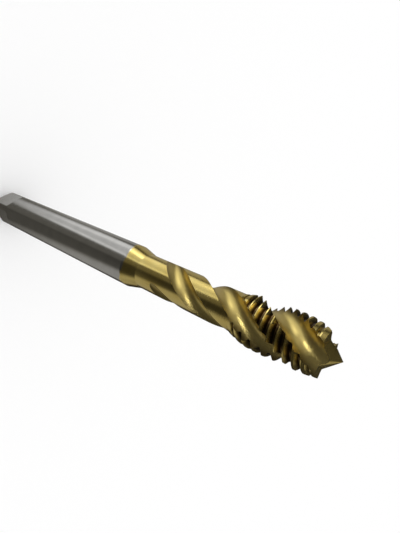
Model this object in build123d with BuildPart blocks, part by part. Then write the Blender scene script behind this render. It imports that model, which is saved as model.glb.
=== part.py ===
from build123d import *
import math
import os

# Machine tap, M6 x 1, with three right-hand spiral flutes, a reduced neck, a
# cylindrical shank and a driving square. It is ground from one bar of tool
# steel. The axis is Z: the square's end face is at Z = 0 and the point is up.
# Lengths named from_point, and those of the front end, are measured back from
# the point. All lengths are in millimetres and all angles in degrees.

# Shank and driving square
overall_length = 70.5
shank_diameter = 6.0
square_across_flats = 4.9
square_length = 5.1
square_wheel_radius = 1.2
end_chamfer = 0.5

# Neck and the shoulder that joins it to the shank
shank_start = 30.5
shoulder_length = 2.5
neck_diameter = 4.8

# Thread
thread_diameter = 6.0
pitch = 1.0
thread_depth = 0.613
crest_flat = 0.12
flank_half_angle = 30.0
thread_end = 10.2
back_taper_length = 2.2
groove_runout = 1.8
groove_azimuth = 207.3

# Point: a male centre on a flat front face, then the cutting chamfer
centre_half_angle = 42.5
front_face = 1.7
chamfer_end = 4.5
chamfer_small_diameter = 5.0

# Flutes
flute_count = 3
flute_lead = 24.7
flute_radius = 2.0
core_diameter = 3.1
flute_azimuth = 78.5
flute_runout_start = 20.7
flute_runout_curve = 10.8
point_dip = 1.0
point_dip_length = 5.0

# How the cutters are made: they reach past the metal by the clearance, and the
# flute's skin passes through round sections no further apart than the step
cutter_clearance = 0.5
groove_clearance = 0.08
flute_section_step = 1.4

shank_radius = shank_diameter / 2
neck_radius = neck_diameter / 2
thread_radius = thread_diameter / 2
core_radius = core_diameter / 2


def height(from_point):
    """Z of a station that is from_point back from the point."""
    return overall_length - from_point


def flute_section_plane(from_point):
    """Plane across the axis whose X runs out through the flute's centre line."""
    turn = math.radians(flute_azimuth - 360 * from_point / flute_lead)
    return Plane(
        (0, 0, height(from_point)),
        x_dir=(math.cos(turn), math.sin(turn), 0),
        z_dir=(0, 0, 1),
    )


# Flute cutter: one pass of the grinding wheel. It dips towards the axis at the
# point, keeps its distance along the thread, then draws away in a curve until it
# has left the neck.
runout_lift = neck_radius - core_radius + cutter_clearance
flute_back = flute_runout_start + math.sqrt(2 * flute_runout_curve * runout_lift)
flute_steps = math.ceil((flute_back + cutter_clearance) / flute_section_step)
with BuildPart() as flute_cutter:
    for step in range(flute_steps + 1):
        from_point = flute_back - (flute_back + cutter_clearance) * step / flute_steps
        past_runout = max(0.0, from_point - flute_runout_start)
        dipped = max(0.0, 1 - from_point / point_dip_length)
        floor = core_radius + past_runout**2 / (2 * flute_runout_curve) - point_dip * dipped**2
        with BuildSketch(flute_section_plane(from_point)):
            with BuildLine():
                middle = floor + flute_radius
                outside = middle + thread_radius / 2
                ThreePointArc((middle, -flute_radius), (floor, 0), (middle, flute_radius))
                Polyline(
                    (middle, flute_radius),
                    (outside, flute_radius),
                    (outside, -flute_radius),
                    (middle, -flute_radius),
                )
            make_face()
    loft()

# Groove cutter: the stretch of the helical thread groove that crosses one land
# and ends in the flutes on both sides of it.
groove_sweep = 0.72 * 360 / flute_count
half_mouth = (pitch - crest_flat) / 2
flank_slope = math.tan(math.radians(flank_half_angle))
half_root = half_mouth - thread_depth * flank_slope
half_outside = half_mouth + groove_clearance * flank_slope
with BuildPart() as groove_cutter:
    with BuildLine() as groove_path:
        Helix(pitch, pitch * groove_sweep / 360, thread_radius)
    with BuildSketch(Plane((thread_radius, 0, 0), x_dir=(1, 0, 0), z_dir=(0, -1, 0))):
        with BuildLine():
            Polyline(
                (-thread_depth, -half_root),
                (groove_clearance, -half_outside),
                (groove_clearance, half_outside),
                (-thread_depth, half_root),
                close=True,
            )
        make_face()
    sweep(path=groove_path.line, is_frenet=True)

# Where the one helical groove crosses each land. The land turns with the
# flutes, so its grooves lie a little further apart than the pitch.
crossing_spacing = 1 / (1 / pitch - 1 / flute_lead)
groove_last = thread_end + groove_runout
groove_places = []
for land in range(flute_count):
    land_azimuth = flute_azimuth + (land + 0.5) * 360 / flute_count
    first_crossing = crossing_spacing * ((groove_azimuth - land_azimuth) / 360 % 1)
    for crossing in range(math.ceil(groove_last / crossing_spacing)):
        from_point = first_crossing + crossing * crossing_spacing
        if front_face - pitch < from_point < groove_last:
            start = from_point + pitch * groove_sweep / 720
            turn = groove_azimuth - 360 * start / pitch
            groove_places.append(Location((0, 0, height(start)), (0, 0, turn)))

# Tap: turned and ground blank, then the square, the flutes and the thread
with BuildPart() as tap:
    with BuildSketch(Plane.XZ):
        with BuildLine():
            centre_base = front_face * math.tan(math.radians(centre_half_angle))
            Polyline(
                (0, 0),
                (shank_radius - end_chamfer, 0),
                (shank_radius, end_chamfer),
                (shank_radius, height(shank_start)),
                (neck_radius, height(shank_start - shoulder_length)),
                (neck_radius, height(thread_end + back_taper_length)),
                (thread_radius, height(thread_end)),
                (thread_radius, height(chamfer_end)),
                (chamfer_small_diameter / 2, height(front_face)),
                (centre_base, height(front_face)),
                (0, overall_length),
                close=True,
            )
        make_face()
    revolve(axis=Axis.Z)

    # Four flats, each running out in the curve of the wheel that ground it
    flat = square_across_flats / 2
    flat_outside = shank_radius + cutter_clearance
    wheel_rise = flat_outside - flat
    wheel_exit = math.sqrt(square_wheel_radius**2 - (square_wheel_radius - wheel_rise) ** 2)
    for side in range(4):
        with BuildSketch(Plane.XZ.rotated((0, 0, 90 * side))):
            with BuildLine():
                Polyline(
                    (flat_outside, square_length + wheel_exit),
                    (flat_outside, -cutter_clearance),
                    (flat, -cutter_clearance),
                    (flat, square_length),
                )
                TangentArc(
                    (flat, square_length),
                    (flat_outside, square_length + wheel_exit),
                    tangent=(0, 1),
                )
            make_face()
        extrude(amount=shank_radius + cutter_clearance, both=True, mode=Mode.SUBTRACT)

    with PolarLocations(0, flute_count):
        add(flute_cutter.part, mode=Mode.SUBTRACT)

    with Locations(*groove_places):
        add(groove_cutter.part, mode=Mode.SUBTRACT)

tap.part.label = "tap"
os.makedirs("parts", exist_ok=True)
export_step(tap.part, "parts/tap.step")
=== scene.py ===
import bpy
import functools
import math
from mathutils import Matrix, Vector


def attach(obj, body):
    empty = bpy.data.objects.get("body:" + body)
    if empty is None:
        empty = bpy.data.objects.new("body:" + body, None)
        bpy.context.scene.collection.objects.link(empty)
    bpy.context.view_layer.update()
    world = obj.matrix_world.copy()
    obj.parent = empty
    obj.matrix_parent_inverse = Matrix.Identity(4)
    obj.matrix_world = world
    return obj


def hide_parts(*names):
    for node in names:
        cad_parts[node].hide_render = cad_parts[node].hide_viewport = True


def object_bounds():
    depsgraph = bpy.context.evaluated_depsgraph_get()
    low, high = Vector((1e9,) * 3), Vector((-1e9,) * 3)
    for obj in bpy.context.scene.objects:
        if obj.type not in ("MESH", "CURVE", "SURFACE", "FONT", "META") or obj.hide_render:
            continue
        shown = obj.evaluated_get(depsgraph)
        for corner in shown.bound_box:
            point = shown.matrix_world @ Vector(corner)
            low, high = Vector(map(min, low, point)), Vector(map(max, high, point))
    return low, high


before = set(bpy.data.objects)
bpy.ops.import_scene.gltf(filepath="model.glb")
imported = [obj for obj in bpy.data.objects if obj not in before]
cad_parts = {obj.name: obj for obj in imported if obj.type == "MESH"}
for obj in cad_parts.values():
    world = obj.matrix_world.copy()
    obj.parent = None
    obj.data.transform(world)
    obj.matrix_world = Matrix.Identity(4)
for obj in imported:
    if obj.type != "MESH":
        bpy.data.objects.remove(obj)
cad_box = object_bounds()

# Blank: one bar of high-speed steel, turned to shape and then ground all over.
# Its skin is worked out by the rules that the grinding wheels follow, in
# millimetres back from the point, and wrapped round the axis in rows of points.
mm = 0.001
skin = bpy.data.node_groups.new("tap_skin", "GeometryNodeTree")
skin.interface.new_socket("Geometry", in_out="OUTPUT", socket_type="NodeSocketGeometry")
skin_inputs = skin.nodes.new("NodeGroupInput")


class Reading:
    """A number at each point of a node tree, worked out with ordinary arithmetic."""

    def __init__(self, socket):
        self.socket = socket

    def through(self, kind, inputs, operation=None):
        """What a new node of this kind gives for these inputs."""
        tree = self.socket.id_data
        node = tree.nodes.new(kind)
        if operation:
            node.operation = operation
        for place, value in inputs.items():
            if isinstance(value, Reading):
                tree.links.new(value.socket, node.inputs[place])
            else:
                node.inputs[place].default_value = value
        return Reading(node.outputs[0])

    def math(self, operation, *others):
        return self.through("ShaderNodeMath", dict(enumerate((self, *others))), operation)

    def __add__(self, other):
        return self.math("ADD", other)

    def __sub__(self, other):
        return self.math("SUBTRACT", other)

    def __rsub__(self, other):
        return self.math("MULTIPLY_ADD", -1, other)

    def __mul__(self, other):
        return self.math("MULTIPLY", other)

    def __truediv__(self, other):
        return self.math("DIVIDE", other)

    def at_least(self, other):
        return self.math("MAXIMUM", other)

    def at_most(self, other):
        return self.math("MINIMUM", other)

    def between(self, low, high):
        """How far it has come from low to high, held between 0 and 1."""
        limits = {"Value": self, "From Min": low, "From Max": high}
        return self.through("ShaderNodeMapRange", limits)

    def towards(self, other, share):
        """This number turned into the other one by a share from 0 to 1."""
        return self.through("ShaderNodeMix", {"Factor": share, "A": self, "B": other})

    def root(self):
        return self.at_least(0).math("SQRT")

    def sine(self):
        """Sine of an angle in degrees."""
        return self.math("RADIANS").math("SINE")

    def cosine(self):
        """Cosine of an angle in degrees."""
        return self.math("RADIANS").math("COSINE")

    def arc_cosine(self):
        """Angle in degrees that has this cosine."""
        return self.at_least(-1).at_most(1).math("ARCCOSINE").math("DEGREES")


def axes_of(socket):
    """The X, Y and Z of a place or a direction, each a reading of its own."""
    tree = socket.id_data
    split = tree.nodes.new("ShaderNodeSeparateXYZ")
    tree.links.new(socket, split.inputs[0])
    return [Reading(split.outputs[axis]) for axis in "XYZ"]


def size(name, value):
    """A named size of the tap that the skin is worked out from, with its plain value."""
    socket = skin.interface.new_socket(name, in_out="INPUT", socket_type="NodeSocketFloat")
    socket.default_value = value
    reading = Reading(skin_inputs.outputs[name])
    reading.value = value
    return reading


overall_length = size("Overall Length", (cad_box[1].z - cad_box[0].z) / mm)
shank_radius = size("Shank Radius", (cad_box[1].x - cad_box[0].x) / mm / 2)
shank_start = size("Shank Start", 30.5)
shoulder_length = size("Shoulder Length", 2.5)
neck_radius = size("Neck Radius", 2.4)
thread_radius = size("Thread Radius", 3.0)
thread_end = size("Thread End", 10.2)
back_taper_length = size("Back Taper Length", 2.2)
front_face = size("Front Face", 1.7)
chamfer_end = size("Chamfer End", 4.5)
chamfer_small_radius = size("Chamfer Small Radius", 2.5)
thread_back = thread_end + back_taper_length
neck_end = shank_start - shoulder_length

flute_count = 3
flute_spacing = 360 / flute_count
columns_in_flute = 28
columns_on_land = 40
columns_in_sector = columns_in_flute + columns_on_land
columns = flute_count * columns_in_sector


@functools.cache
def blank_radius(from_point):
    """Radius of the turned bar at this section, before the flutes and the thread."""
    past_chamfer = from_point.between(front_face, chamfer_end)
    past_taper = from_point.between(thread_end, thread_back)
    past_shoulder = from_point.between(neck_end, shank_start)
    thread = chamfer_small_radius.towards(thread_radius, past_chamfer)
    return thread.towards(neck_radius, past_taper).towards(shank_radius, past_shoulder)


def sheet_of_points(rows):
    """A flat sheet of columns by rows, and the column and row of each point."""
    sheet = skin.nodes.new("GeometryNodeMeshGrid")
    sheet.inputs["Vertices X"].default_value = columns + 1
    sheet.inputs["Vertices Y"].default_value = rows + 1
    place = skin.nodes.new("GeometryNodeInputPosition")
    across, down = axes_of(place.outputs["Position"])[:2]
    column = ((across + 0.5) * columns).math("ROUND")
    row = ((down + 0.5) * rows).math("ROUND")
    return sheet.outputs["Mesh"], column, row


def wrapped_round_axis(sheet, radius, azimuth, from_point):
    """The sheet's points moved to where they belong on the tap."""
    place = skin.nodes.new("ShaderNodeCombineXYZ")
    skin.links.new((radius * azimuth.cosine() * mm).socket, place.inputs["X"])
    skin.links.new((radius * azimuth.sine() * mm).socket, place.inputs["Y"])
    skin.links.new(((overall_length - from_point) * mm).socket, place.inputs["Z"])
    wrapped = skin.nodes.new("GeometryNodeSetPosition")
    skin.links.new(sheet, wrapped.inputs["Geometry"])
    skin.links.new(place.outputs[0], wrapped.inputs["Position"])
    return wrapped.outputs["Geometry"]


# Thread form: a 60 degree groove with a narrow flat root, ground into the blank
# at one turn to the pitch. At its back the root rises to meet the neck.
pitch = size("Pitch", 1.0)
thread_depth = size("Thread Depth", 0.613)
crest_flat = size("Crest Flat", 0.12)
groove_azimuth = size("Groove Azimuth", 207.3)
root_rise_length = size("Root Rise Length", 0.4)
flank_half_angle = 30
flank_slope = math.tan(math.radians(flank_half_angle))
half_root = (pitch - crest_flat) / 2 - thread_depth * flank_slope


@functools.cache
def root_radius(from_point):
    """Radius of the bottom of the thread's groove at this section."""
    rise = from_point.between(thread_back - root_rise_length, thread_back)
    return (thread_radius - thread_depth).towards(neck_radius, rise)


def threaded_radius(from_point, azimuth):
    """Radius of the threaded bar in this direction, before the flutes."""
    turns = from_point / pitch - (groove_azimuth - azimuth) / 360
    from_groove = ((turns + 0.5).math("FRACT") - 0.5).math("ABSOLUTE") * pitch
    groove = root_radius(from_point) + (from_groove - half_root).at_least(0) / flank_slope
    return blank_radius(from_point).at_most(groove)


# Flutes: a round-nosed wheel follows the helix at one depth along the thread,
# then lifts out of the neck in a long curve. The columns of points keep to the
# flutes' edges, which leaves the cutting edges sharp.
flute_lead = size("Flute Lead", 24.7)
flute_radius = size("Flute Radius", 2.0)
core_radius = size("Core Radius", 1.55)
flute_azimuth = size("Flute Azimuth", 78.5)
runout_start = size("Flute Run-out Start", 20.7)
runout_curve = size("Flute Run-out Curve", 10.8)
point_dip = size("Point Dip", 1.0)
point_dip_length = size("Point Dip Length", 5.0)
wheel_clear = 0.02
flute_back = runout_start + (runout_curve * (neck_radius - core_radius) * 2).root() + wheel_clear


@functools.cache
def flute_heading(from_point):
    """Azimuth of the middle of the first flute at this section."""
    return flute_azimuth - from_point / flute_lead * 360


@functools.cache
def wheel_distance(from_point):
    """Distance of the wheel's round nose from the axis at this section."""
    lifted = (from_point - runout_start).at_least(0)
    dipped = (1 - from_point / point_dip_length).at_least(0)
    floor = core_radius + lifted * lifted / runout_curve / 2 - point_dip * dipped * dipped
    return floor + flute_radius


def edge_angle(reach, wheel):
    """Angle at the axis from a flute's middle to where it cuts a skin of this radius."""
    sides = reach * reach + wheel * wheel - flute_radius * flute_radius
    return (sides / (reach * wheel * 2)).arc_cosine()


def edge_swing(reach, wheel):
    """The same edge's angle at the centre of the wheel's nose."""
    sides = wheel * wheel + flute_radius * flute_radius - reach * reach
    return (sides / (wheel * flute_radius * 2)).arc_cosine()


@functools.cache
def place_in_sector(column):
    """Which flute a column goes with, and its place across that flute or along its land."""
    sector = (column / columns_in_sector).math("FLOOR")
    place = column - sector * columns_in_sector
    across_flute = place.between(0, columns_in_flute) * 2 - 1
    along_land = place.between(columns_in_flute, columns_in_sector)
    return sector, across_flute, along_land


def flute_point(swing, wheel):
    """Radius, and angle from the flute's middle, of a point of the flute."""
    deep = wheel - swing.cosine() * flute_radius
    wide = swing.sine() * flute_radius
    return (deep * deep + wide * wide).root(), wide.math("ARCTAN2", deep).math("DEGREES")


def section(column, from_point):
    """Radius, azimuth and swing of a column's point at this section."""
    sector, across_flute, along_land = place_in_sector(column)
    heading = flute_heading(from_point) + sector * flute_spacing
    wheel = wheel_distance(from_point)
    edge = edge_angle(blank_radius(from_point), wheel)
    near_reach = threaded_radius(from_point, heading - edge)
    far_reach = threaded_radius(from_point, heading + edge)
    next_reach = threaded_radius(from_point, heading + flute_spacing - edge)

    reach = near_reach.towards(far_reach, across_flute.math("GREATER_THAN", 0))
    swing = across_flute * edge_swing(reach, wheel)
    in_flute, flute_angle = flute_point(swing, wheel)
    in_flute = in_flute.at_most(blank_radius(from_point))

    land_start = edge_angle(far_reach, wheel)
    land_end = flute_spacing - edge_angle(next_reach, wheel)
    land_angle = land_start.towards(land_end, along_land)
    on_land = threaded_radius(from_point, heading + land_angle)

    is_land = along_land.math("GREATER_THAN", 0)
    azimuth = heading + flute_angle.towards(land_angle, is_land)
    return in_flute.towards(on_land, is_land), azimuth, swing


def is_fluted(column):
    """1 for a column of points in a flute, 0 for one on a land."""
    return 1 - place_in_sector(column)[2].math("GREATER_THAN", 0)


def marked(sheet, fluted):
    """The same sheet with its points marked where they are ground by the flutes' wheel."""
    mark = skin.nodes.new("GeometryNodeStoreNamedAttribute")
    mark.inputs["Name"].default_value = "fluted"
    skin.links.new(sheet, mark.inputs["Geometry"])
    skin.links.new(fluted.socket, mark.inputs["Value"])
    return mark.outputs["Geometry"]


# Point: a male centre on a flat front face. The flutes are ground a little deeper
# there and run out through both, so the centre's foot follows them where they
# cut it short.
centre_half_angle = size("Centre Half Angle", 42.5)
centre_rings = 12
foot_rows = 4
foot_refinements = 5
centre_slope = centre_half_angle.sine() / centre_half_angle.cosine()
base_radius = front_face * centre_slope
sheet, column, row = sheet_of_points(centre_rings + foot_rows)
rim_radius, rim_azimuth, swing = section(column, front_face)
is_cut = (base_radius - rim_radius).math("GREATER_THAN", 0)
foot = front_face
for _ in range(foot_refinements):
    foot = (flute_point(swing, wheel_distance(foot))[0] / centre_slope).at_most(front_face)
ring = row.between(0, centre_rings)
below_foot = row.between(centre_rings, centre_rings + foot_rows)
from_point = foot.towards(front_face, below_foot)
cut_radius, cut_angle = flute_point(swing, wheel_distance(from_point))
cut_azimuth = flute_heading(from_point) + place_in_sector(column)[0] * flute_spacing + cut_angle
# the columns leave the tip evenly and turn to the flutes' edges near the foot
turned = is_cut * ring * ring * ring
point_skin = wrapped_round_axis(
    marked(sheet, is_cut * below_foot.math("GREATER_THAN", 0)),
    base_radius.towards(rim_radius, below_foot).towards(cut_radius, is_cut) * ring,
    rim_azimuth.towards(cut_azimuth, turned),
    from_point * ring,
)

# Threaded lands: the rows of points wind round with the thread, so that each
# crest and each root lies on rows of its own, and are held at the front face
# and at the back of the thread.
rows_per_pitch = 16
root_rows = 2 / rows_per_pitch
flank_rows = 6 / rows_per_pitch
least_groove_depth = 0.1
first_turn = 1
turns_wound = 12
sheet, column, row = sheet_of_points(turns_wound * rows_per_pitch)
sector, across_flute, along_land = place_in_sector(column)
plain_wheel = core_radius + flute_radius
plain_swing = edge_swing(thread_radius, plain_wheel)
plain_land = flute_spacing - edge_angle(thread_radius, plain_wheel) * 2
plain_angle = flute_point(across_flute * plain_swing, plain_wheel)[1] + along_land * plain_land
winding = (groove_azimuth - flute_azimuth - plain_angle - sector * flute_spacing) / 360
crossing_spacing = pitch * flute_lead / (flute_lead - pitch)

turns = row / rows_per_pitch + first_turn
whole_turns = (turns + 0.5).math("FLOOR")
past_groove = turns - whole_turns
off_groove = past_groove.math("ABSOLUTE")
rough_place = (turns + winding) * crossing_spacing
groove_depth = blank_radius(rough_place) - thread_radius + thread_depth
half_mouth = half_root + groove_depth.at_least(least_groove_depth) * flank_slope
across = half_root * off_groove.between(0, root_rows)
across = across + (half_mouth - half_root) * off_groove.between(root_rows, flank_rows)
across = across + (pitch / 2 - half_mouth) * off_groove.between(flank_rows, 0.5)
groove_turns = whole_turns + past_groove.math("SIGN") * across / pitch
from_point = (groove_turns + winding) * crossing_spacing
from_point = from_point.at_least(front_face).at_most(thread_back)
radius, azimuth = section(column, from_point)[:2]
thread_skin = wrapped_round_axis(marked(sheet, is_fluted(column)), radius, azimuth, from_point)

# Neck: plain, with the flutes lifting out of it. The rows close up towards the
# end of the flutes, where their edges meet in a rounded tip.
neck_rows = 72
sheet, column, row = sheet_of_points(neck_rows)
to_tip = 1 - row / neck_rows
from_point = flute_back - (flute_back - thread_back) * to_tip * to_tip
radius, azimuth = section(column, from_point)[:2]
neck_skin = wrapped_round_axis(marked(sheet, is_fluted(column)), radius, azimuth, from_point)

# Shoulder and shank: a short cone up to the ground cylinder that the holder
# grips. Down the shank the columns shift a little, to meet the square's edges.
square_half_width = size("Square Half Width", 2.45)
square_length = size("Square Length", 5.1)
square_wheel_radius = size("Square Wheel Radius", 1.2)
end_chamfer = size("End Chamfer", 0.5)
column_step = flute_spacing / columns_on_land
flat_spacing = 90
shoulder_rows = 2
shank_rows = 10
flats_clearance = 1.5


def bar_azimuth(column):
    """Azimuth of a column where the flutes have run out and only lands are left."""
    sector, _, along_land = place_in_sector(column)
    return flute_heading(flute_back) + (sector + along_land) * flute_spacing


def square_azimuth(column):
    """Azimuth of a column moved to meet the square's edges, and its angle off the flat."""
    even = (bar_azimuth(column) / column_step).math("ROUND") * column_step
    flat_middle = (even / flat_spacing).math("ROUND") * flat_spacing
    turned = even - flat_middle
    off_middle = turned.math("ABSOLUTE")
    edge = (square_half_width / shank_radius).arc_cosine()
    edge_column = (edge / column_step).math("ROUND") * column_step
    moved = off_middle.between(0, edge_column) * edge
    corner = flat_spacing / 2
    moved = moved + off_middle.between(edge_column, corner) * (corner - edge)
    return flat_middle + turned.math("SIGN") * moved, moved


shank_back = overall_length - square_length - flats_clearance
sheet, column, row = sheet_of_points(shoulder_rows + shank_rows)
past_shoulder = row.between(shoulder_rows, shoulder_rows + shank_rows)
from_point = flute_back.towards(neck_end, row.between(0, 1))
from_point = from_point.towards(shank_start, row.between(1, shoulder_rows))
from_point = from_point.towards(shank_back, past_shoulder)
azimuth = bar_azimuth(column).towards(square_azimuth(column)[0], past_shoulder)
shank_skin = wrapped_round_axis(sheet, blank_radius(from_point), azimuth, from_point)

# Driving square: four flats, each running out into the shank in the curve of
# the wheel that ground it, and a chamfer round the end.
# rows of points, from the shank down to the middle of the end face
runout_top = 3
runout_foot = runout_top + 10
chamfer_top = runout_foot + 1
end_edge = chamfer_top + 3
end_middle = end_edge + 4
sheet, column, row = sheet_of_points(end_middle)
azimuth, off_middle = square_azimuth(column)
rise = shank_radius * off_middle.cosine() - square_half_width
below_wheel = square_wheel_radius - rise.at_least(0)
wheel_reach = (square_wheel_radius * square_wheel_radius - below_wheel * below_wheel).root()
runout = square_length + wheel_reach
height = (overall_length - shank_back).towards(runout, row.between(0, runout_top))
height = height.towards(square_length, row.between(runout_top, runout_foot))
height = height.towards(end_chamfer, row.between(runout_foot, chamfer_top))
height = height - end_chamfer * row.between(chamfer_top, end_edge)
above_square = (height - square_length).at_least(0).at_most(square_wheel_radius)
wheel_height = (square_wheel_radius * square_wheel_radius - above_square * above_square).root()
flat_distance = square_half_width + square_wheel_radius - wheel_height
radius = (flat_distance / off_middle.cosine()).at_most(shank_radius)
radius = radius.at_most(shank_radius - end_chamfer + height)
radius = radius * (1 - row.between(end_edge, end_middle))
square_skin = wrapped_round_axis(sheet, radius, azimuth, overall_length - height)

# Finish: bright ground steel, with the front end coated in a thin gold-coloured
# nitride that starts just behind the shoulder. The grinding lines run round the
# cylinders and the thread, and along the flutes, which are left satin.
skin.interface.new_socket("Material", in_out="INPUT", socket_type="NodeSocketMaterial")
finish = bpy.data.materials.new("coated_tool_steel")
finish.use_nodes = True
finish_nodes = finish.node_tree.nodes
finish_links = finish.node_tree.links
coating_start = 31.65
coating_slant = 1.5
slant_azimuth = 36
coating_fade = 0.12
edge_wander = 0.5
surface = finish_nodes["Principled BSDF"]
surface.inputs["Metallic"].default_value = 1.0


def finish_noise(x, y, z, detail=2.0, roughness=0.5):
    """Noise, from 0 to 1, over coordinates worked out on the tap."""
    spot = finish_nodes.new("ShaderNodeCombineXYZ")
    for axis, value in (("X", x), ("Y", y), ("Z", z)):
        finish_links.new(value.socket, spot.inputs[axis])
    noise = finish_nodes.new("ShaderNodeTexNoise")
    noise.inputs["Scale"].default_value = 1.0
    noise.inputs["Detail"].default_value = detail
    noise.inputs["Roughness"].default_value = roughness
    finish_links.new(spot.outputs[0], noise.inputs["Vector"])
    return Reading(noise.outputs["Fac"])


def finish_colour(share, plain, full):
    """One colour turning to another; either may itself be a mix."""
    mix = finish_nodes.new("ShaderNodeMix")
    mix.data_type = "RGBA"
    plain_socket, full_socket = [socket for socket in mix.inputs if socket.type == "RGBA"]
    finish_links.new(share.socket, mix.inputs["Factor"])
    for socket, colour in ((plain_socket, plain), (full_socket, full)):
        if isinstance(colour, tuple):
            socket.default_value = (*colour, 1)
        else:
            finish_links.new(colour, socket)
    return next(socket for socket in mix.outputs if socket.type == "RGBA")


def finish_roughness(noise, around, variation):
    """A roughness that varies with the noise."""
    return noise * variation - variation / 2 + around


place = finish_nodes.new("ShaderNodeTexCoord")
side, depth, along = (axis / mm for axis in axes_of(place.outputs["Object"]))
off_axis = (side * side + depth * depth).root()
round_tap = depth.math("ARCTAN2", side).math("DEGREES")
from_point = overall_length.value - along
mark = finish_nodes.new("ShaderNodeAttribute")
mark.attribute_name = "fluted"
edge_band = (0.2, 0.8)
in_flute = Reading(mark.outputs["Fac"]).between(*edge_band)

# lines left by the wheels: round the tap, and along each flute's helix
lines_per_mm = 9
line_drift = 0.25
flute_lines_round = 6
flute_lines_deep = 5
flute_line_drift = 0.4
fine = {"detail": 3.0, "roughness": 0.6}
round_lines = finish_noise(side * line_drift, depth * line_drift, along * lines_per_mm, **fine)
helix = round_tap - along * (360 / flute_lead.value)
across_helix = (helix * flute_count).math("RADIANS")
flute_lines = finish_noise(
    across_helix.math("SINE") * flute_lines_round,
    across_helix.math("COSINE") * flute_lines_round,
    off_axis * flute_lines_deep + along * flute_line_drift,
    **fine,
)
lines = round_lines.towards(flute_lines, in_flute)
grains_per_mm = 14
grain = finish_noise(side * grains_per_mm, depth * grains_per_mm, along * grains_per_mm)
clouds_per_mm = 0.5
cloud_band = (0.3, 0.7)
cloud = finish_noise(side * clouds_per_mm, depth * clouds_per_mm, along * clouds_per_mm)
cloud = cloud.between(*cloud_band)

# the coating's edge slants and wanders a little, as it does on parts that hang in
# the coating chamber
waves_round = 1.2
waves_along = 0.4
edge_noise = finish_noise(side * waves_round, depth * waves_round, along * waves_along)
edge_slant = (round_tap - slant_azimuth).cosine() * coating_slant
edge_height = edge_noise * edge_wander - edge_wander / 2
edge_height = edge_height + (overall_length.value - coating_start) + edge_slant
coated = (along - edge_height).between(-coating_fade, coating_fade)
steel = finish_colour(cloud, (0.59, 0.585, 0.56), (0.65, 0.64, 0.615))
gold = finish_colour(cloud, (0.86, 0.66, 0.20), (0.93, 0.75, 0.27))

# painted shade: the gold darkens to a dark brown down in the thread's roots, where shade falls
# in the grooves
root_shade_starts = 0.04
root_shade_is_full = 0.40
root_shade_fade = 0.2
taper_end = thread_end.value + back_taper_length.value
past_chamfer = from_point.between(front_face.value, chamfer_end.value)
past_taper = from_point.between(thread_end.value, taper_end)
crest = past_chamfer * (thread_radius.value - chamfer_small_radius.value)
crest = crest + chamfer_small_radius.value
crest = crest - past_taper * (thread_radius.value - neck_radius.value)
painted_root_shade = (crest - off_axis).between(root_shade_starts, root_shade_is_full)
painted_root_shade = painted_root_shade * from_point.between(front_face.value, front_face.value + root_shade_fade)
thread_runs_out = from_point.between(taper_end - root_rise_length.value, taper_end + root_shade_fade)
painted_root_shade = painted_root_shade * (1 - thread_runs_out) * (1 - in_flute)
# painted shade in the thread's roots, laid over the gold
gold = finish_colour(painted_root_shade, gold, (0.13, 0.085, 0.035))

# the flutes are coated too, and painted shade darkens them from their floors out to their edges
flute_floor = 1.75
flute_rim = 2.7
painted_flute_shade = off_axis.between(flute_floor, flute_rim)
shaded_flute_gold = finish_colour(painted_flute_shade, (0.90, 0.71, 0.24), (0.27, 0.205, 0.08))
# painted shade on the flutes' walls, laid over the gold
gold = finish_colour(in_flute, gold, shaded_flute_gold)
finish_links.new(finish_colour(coated, steel, gold), surface.inputs["Base Color"])

# the wheels' polish, rougher in the flutes
ground_polish = finish_roughness(lines, around=0.2, variation=0.08)
coated_polish = finish_roughness(lines, around=0.2, variation=0.1)
satin_polish = finish_roughness(grain, around=0.34, variation=0.12)
polish = ground_polish.towards(coated_polish, coated).towards(satin_polish, in_flute * coated)
finish_links.new(polish.socket, surface.inputs["Roughness"])

line_height = 0.0012
grain_height = 0.006
relief = lines * line_height + grain * in_flute * grain_height
bump = finish_nodes.new("ShaderNodeBump")
bump.inputs["Strength"].default_value = 1.0
bump.inputs["Distance"].default_value = mm
finish_links.new(relief.socket, bump.inputs["Height"])
finish_links.new(bump.outputs["Normal"], surface.inputs["Normal"])

# The skins are joined where their rows of points meet, and edges sharper than a
# ground corner are kept crisp.
crisp_angle = math.radians(11)
weld_distance = 0.0001 * mm
join = skin.nodes.new("GeometryNodeJoinGeometry")
for part_skin in (square_skin, shank_skin, neck_skin, thread_skin, point_skin):
    skin.links.new(part_skin, join.inputs["Geometry"])
weld = skin.nodes.new("GeometryNodeMergeByDistance")
weld.inputs["Distance"].default_value = weld_distance
turn_out = skin.nodes.new("GeometryNodeFlipFaces")
edge_turn = skin.nodes.new("GeometryNodeInputMeshEdgeAngle")
is_crisp = Reading(edge_turn.outputs["Unsigned Angle"]).math("GREATER_THAN", crisp_angle)
crease = skin.nodes.new("GeometryNodeSetShadeSmooth")
crease.domain = "EDGE"
crease.inputs["Shade Smooth"].default_value = False
realize = skin.nodes.new("GeometryNodeRealizeInstances")
set_finish = skin.nodes.new("GeometryNodeSetMaterial")
skin_output = skin.nodes.new("NodeGroupOutput")
skin.links.new(join.outputs[0], weld.inputs["Geometry"])
skin.links.new(weld.outputs[0], turn_out.inputs["Mesh"])
skin.links.new(turn_out.outputs[0], crease.inputs["Geometry"])
skin.links.new(is_crisp.socket, crease.inputs["Selection"])
skin.links.new(crease.outputs[0], realize.inputs["Geometry"])
skin.links.new(realize.outputs[0], set_finish.inputs["Geometry"])
skin.links.new(skin_inputs.outputs["Material"], set_finish.inputs["Material"])
skin.links.new(set_finish.outputs[0], skin_output.inputs["Geometry"])

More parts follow.
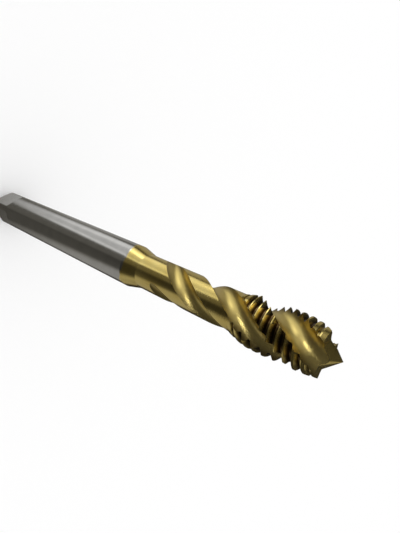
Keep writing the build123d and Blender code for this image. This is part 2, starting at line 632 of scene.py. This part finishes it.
carrier = bpy.data.objects.new("tap_carrier", bpy.data.meshes.new("tap_carrier"))
bpy.context.scene.collection.objects.link(carrier)
ground = carrier.modifiers.new("ground", "NODES")
ground.node_group = skin
for item in skin.interface.items_tree:
    if item.in_out == "INPUT":
        ground[item.identifier] = finish if item.name == "Material" else item.default_value
ground_carrier = carrier.evaluated_get(bpy.context.evaluated_depsgraph_get())
shape = bpy.data.meshes.new_from_object(ground_carrier)
carrier.modifiers.remove(ground)
bpy.data.objects.remove(carrier)
shape.name = "ground_tap"
ground_tap = bpy.data.objects.new("ground_tap", shape)
bpy.context.scene.collection.objects.link(ground_tap)
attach(ground_tap, "root")
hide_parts("tap")

# Floor: a plain pale sweep that the tap stands on.
floor_size = 4.0
floor_shape = bpy.data.meshes.new("floor")
floor_shape.from_pydata(
    [(x * floor_size, y * floor_size, 0) for x, y in ((-1, -1), (1, -1), (1, 1), (-1, 1))],
    [],
    [(0, 1, 2, 3)],
)
floor = bpy.data.objects.new("floor", floor_shape)
bpy.context.scene.collection.objects.link(floor)
floor_paint = bpy.data.materials.new("white_floor")
floor_paint.use_nodes = True
floor_surface = floor_paint.node_tree.nodes["Principled BSDF"]
floor_surface.inputs["Base Color"].default_value = (1, 1, 1, 1)
floor_surface.inputs["Roughness"].default_value = 1.0
floor_surface.inputs["Specular IOR Level"].default_value = 0.0
floor_shape.materials.append(floor_paint)
floor.visible_glossy = False

# Studio light: an even white dome lights the floor and shows behind the tap. The
# metal mirrors a photographer's bench instead: white soft boxes over it, and
# dim, warm grey walls and table round it.
studio = bpy.data.worlds.new("studio")
bpy.context.scene.world = studio
studio.use_nodes = True
studio_nodes = studio.node_tree.nodes
studio_links = studio.node_tree.links
outlook = studio_nodes.new("ShaderNodeTexCoord")
east, north, upward = axes_of(outlook.outputs["Generated"])
bench_right = (-0.17934, -0.65216, 0.73657)
bench_overhead = (0.78000, -0.55053, -0.29752)
bench_front = (0.59953, 0.52116, 0.60741)
wall_light = 0.025
wall_tint = {"Red": 1.0, "Green": 0.93, "Blue": 0.78}
white_from = 0.5
light_panels = (
    # bearing of the middle, half width, lowest and highest lift, soft edge, brightness
    (-98, 56, 42, 100, 3, 0.58),
    (-146, 17, 46, 70, 5, 0.90),
    (-78, 34, 42, 49, 2, 1.00),
    (-105, 56, 60, 76, 4, 0.82),
    (0, 200, 77, 100, 3, 1.15),
    (-75, 42, 72, 84, 3, 2.2),
    (-17, 10, 36, 45, 3, 9.0),
    (58, 50, 48, 70, 8, 0.46),
    (160, 28, 10, 62, 6, 0.30),
    (-172, 14, -6, 40, 6, 0.34),
    (-116, 32, -48, -12, 6, 0.34),
    (-105, 60, 18, 41, 5, 0.12),
    (-102, 18, -14, 20, 5, 0.08),
    (35, 50, -90, -52, 6, 0.26),
)


def share_of(direction):
    """How far the mirrored direction leans towards this one of the bench."""
    return east * direction[0] + north * direction[1] + upward * direction[2]


def panel_light(middle, half_width, lowest, highest, soft, brightness):
    """Light of one soft box or lit stretch of wall, in degrees round and over the bench."""
    aside = (bearing - middle).math("WRAP", 180, -180).math("ABSOLUTE")
    panel = 1 - aside.between(half_width - soft, half_width + soft)
    panel = panel * lift.between(lowest - soft, lowest + soft)
    return panel * (1 - lift.between(highest - soft, highest + soft)) * brightness


bearing = share_of(bench_right).math("ARCTAN2", share_of(bench_front)).math("DEGREES")
lift = 90 - share_of(bench_overhead).arc_cosine()
room = functools.reduce(Reading.at_least, (panel_light(*panel) for panel in light_panels))
room = room.at_least(wall_light)
whiteness = room.between(0, white_from)
tint = studio_nodes.new("ShaderNodeCombineColor")
for channel, wall_share in wall_tint.items():
    tinted = room * (whiteness * (1 - wall_share) + wall_share)
    studio_links.new(tinted.socket, tint.inputs[channel])
dome = studio_nodes["Background"]
dome.inputs["Color"].default_value = (1, 1, 1, 1)
mirrored = studio_nodes.new("ShaderNodeBackground")
studio_links.new(tint.outputs[0], mirrored.inputs["Color"])
seen = studio_nodes.new("ShaderNodeLightPath")
choice = studio_nodes.new("ShaderNodeMixShader")
studio_links.new(seen.outputs["Is Glossy Ray"], choice.inputs[0])
studio_links.new(dome.outputs[0], choice.inputs[1])
studio_links.new(mirrored.outputs[0], choice.inputs[2])
studio_links.new(choice.outputs[0], studio_nodes["World Output"].inputs["Surface"])

# Camera: close to the point, looking down past it at the shank. Its lens is told
# by the focal length and the height of the picture, both in pixels.
focal_length = 405
picture_height = 533
camera_data = bpy.data.cameras.new("camera")
camera_data.sensor_fit = "VERTICAL"
camera_data.sensor_height = 36
camera_data.lens = focal_length / picture_height * camera_data.sensor_height
camera_data.clip_start = 2 * mm
camera = bpy.data.objects.new("camera", camera_data)
bpy.context.scene.collection.objects.link(camera)
camera.location = Vector((32.475, 23.832, 81.074)) * mm
camera.rotation_euler = [math.radians(angle) for angle in (-26.0966, -47.4397, -105.3758)]
bpy.context.scene.camera = camera
bpy.context.scene.view_settings.view_transform = "Standard"
